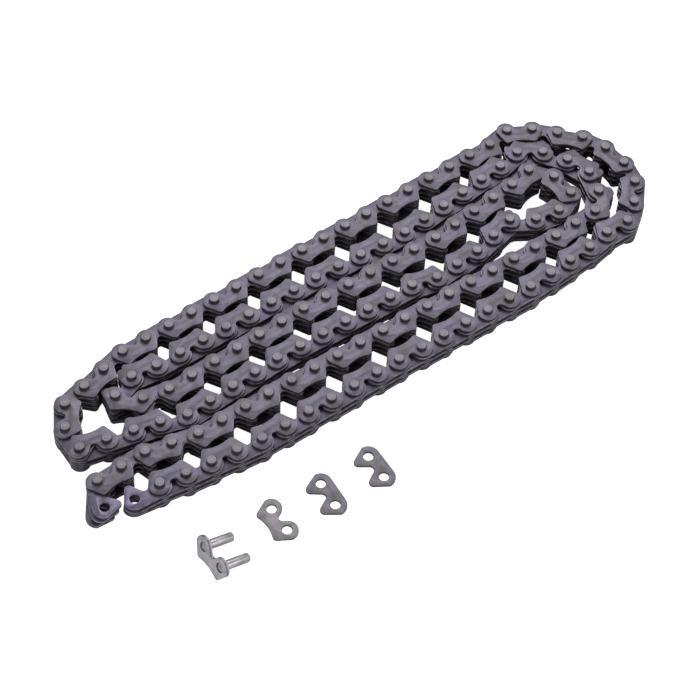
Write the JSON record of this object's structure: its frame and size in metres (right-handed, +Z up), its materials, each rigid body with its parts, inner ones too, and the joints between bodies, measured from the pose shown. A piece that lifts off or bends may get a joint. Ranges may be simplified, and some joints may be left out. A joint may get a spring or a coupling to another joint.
{
  "type": "inverted-tooth chain",
  "caption": "Open inverted-tooth timing chain on riveted pins, laid on its side in strands, with loose connecting plates and a pin link.",
  "frame": {"origin": "on the surface that the chain lies on, under the middle of the layout", "axes": "+X along the strands towards the outer turns, +Z up"},
  "size_m": [0.1638, 0.0668, 0.0079],
  "materials": {
    "chain_plate": "matte blued steel with faint mottling",
    "toothed_plate": "matte blued steel",
    "riveted_pin": "satin steel, riveted end",
    "loose_plate": "satin grey steel",
    "bright_pin": "bright ground steel"
  },
  "bodies": {
    "coil": {"strand_one": "chain_plate", "strand_two": "chain_plate", "strand_three": "chain_plate", "strand_four": "chain_plate", "strand_five": "chain_plate", "strand_six": "chain_plate"},
    "end_one_link_2": {"end_one_link_2_inner_plate_1": "chain_plate", "end_one_link_2_inner_plate_2": "chain_plate", "end_one_link_2_inner_plate_3": "chain_plate"},
    "end_one_link_1": {"end_one_link_1_guide_plate_1": "chain_plate", "end_one_link_1_guide_plate_2": "chain_plate", "end_one_link_1_middle_plate_1": "chain_plate", "end_one_link_1_middle_plate_2": "chain_plate", "end_one_link_1_pin_1": "riveted_pin", "end_one_link_1_pin_2": "riveted_pin"},
    "end_two_link_2": {"end_two_link_2_inner_plate_1": "chain_plate", "end_two_link_2_inner_plate_2": "chain_plate", "end_two_link_2_inner_plate_3": "chain_plate"},
    "end_two_link_1": {"end_two_link_1_guide_plate_1": "chain_plate", "end_two_link_1_guide_plate_2": "chain_plate", "end_two_link_1_middle_plate_1": "chain_plate", "end_two_link_1_middle_plate_2": "chain_plate", "end_two_link_1_pin_1": "riveted_pin", "end_two_link_1_pin_2": "riveted_pin"},
    "pin_link": {"pin_link_plate": "loose_plate", "pin_link_pin_1": "bright_pin", "pin_link_pin_2": "bright_pin"},
    "cover_plate": {"loose_cover_plate": "loose_plate"},
    "toothed_plate_1": {"loose_toothed_plate_1": "loose_plate"},
    "toothed_plate_2": {"loose_toothed_plate_2": "loose_plate"},
    "end_one_plate_1": {"end_one_end_plate_1": "toothed_plate"},
    "end_one_plate_2": {"end_one_end_plate_2": "toothed_plate"},
    "end_one_plate_3": {"end_one_end_plate_3": "toothed_plate"},
    "end_two_plate_1": {"end_two_end_plate_1": "toothed_plate"},
    "end_two_plate_2": {"end_two_end_plate_2": "toothed_plate"},
    "end_two_plate_3": {"end_two_end_plate_3": "toothed_plate"}
  },
  "joints": [
    {"name": "end_one_pin_3_hinge", "type": "hinge", "parent": "coil", "child": "end_one_link_2", "pos_m": [-0.0521, -0.00877, 0.004], "axis": [0, 0, 1], "range_deg": [0, 40]},
    {"name": "end_one_pin_2_hinge", "type": "hinge", "parent": "end_one_link_2", "child": "end_one_link_1", "pos_m": [-0.05842, -0.0081, 0.004], "axis": [0, 0, -1], "range_deg": [-60, 0]},
    {"name": "end_one_plate_1_hinge", "type": "hinge", "parent": "end_one_link_1", "child": "end_one_plate_1", "pos_m": [-0.06469, -0.00711, 0.004], "axis": [0, 0, 1], "range_deg": [-3, 110]},
    {"name": "end_one_plate_2_hinge", "type": "hinge", "parent": "end_one_link_1", "child": "end_one_plate_2", "pos_m": [-0.06469, -0.00711, 0.004], "axis": [0, 0, 1], "range_deg": [-6, 108]},
    {"name": "end_one_plate_3_hinge", "type": "hinge", "parent": "end_one_link_1", "child": "end_one_plate_3", "pos_m": [-0.06469, -0.00711, 0.004], "axis": [0, 0, 1], "range_deg": [-6, 108]},
    {"name": "end_two_pin_3_hinge", "type": "hinge", "parent": "coil", "child": "end_two_link_2", "pos_m": [-0.0629, 0.00166, 0.004], "axis": [0, 0, 1], "range_deg": [-16, 0]},
    {"name": "end_two_pin_2_hinge", "type": "hinge", "parent": "end_two_link_2", "child": "end_two_link_1", "pos_m": [-0.06925, 0.00144, 0.004], "axis": [0, 0, -1], "range_deg": [0, 20]},
    {"name": "end_two_plate_1_hinge", "type": "hinge", "parent": "end_two_link_1", "child": "end_two_plate_1", "pos_m": [-0.07559, 0.00122, 0.004], "axis": [0, 0, -1], "range_deg": [-12, 80]},
    {"name": "end_two_plate_2_hinge", "type": "hinge", "parent": "end_two_link_1", "child": "end_two_plate_2", "pos_m": [-0.07559, 0.00122, 0.004], "axis": [0, 0, -1], "range_deg": [-5, 90]},
    {"name": "end_two_plate_3_hinge", "type": "hinge", "parent": "end_two_link_1", "child": "end_two_plate_3", "pos_m": [-0.07559, 0.00122, 0.004], "axis": [0, 0, -1], "range_deg": [0, 90]},
    {"name": "pin_link_lift", "type": "slide", "parent": "coil", "child": "pin_link", "axis": [0, 0, 1], "range_m": [0, 0.03]},
    {"name": "cover_plate_lift", "type": "slide", "parent": "coil", "child": "cover_plate", "axis": [0, 0, 1], "range_m": [0, 0.03]},
    {"name": "toothed_plate_1_lift", "type": "slide", "parent": "coil", "child": "toothed_plate_1", "axis": [0, 0, 1], "range_m": [0, 0.03]},
    {"name": "toothed_plate_2_lift", "type": "slide", "parent": "coil", "child": "toothed_plate_2", "axis": [0, 0, 1], "range_m": [0, 0.03]}
  ]
}
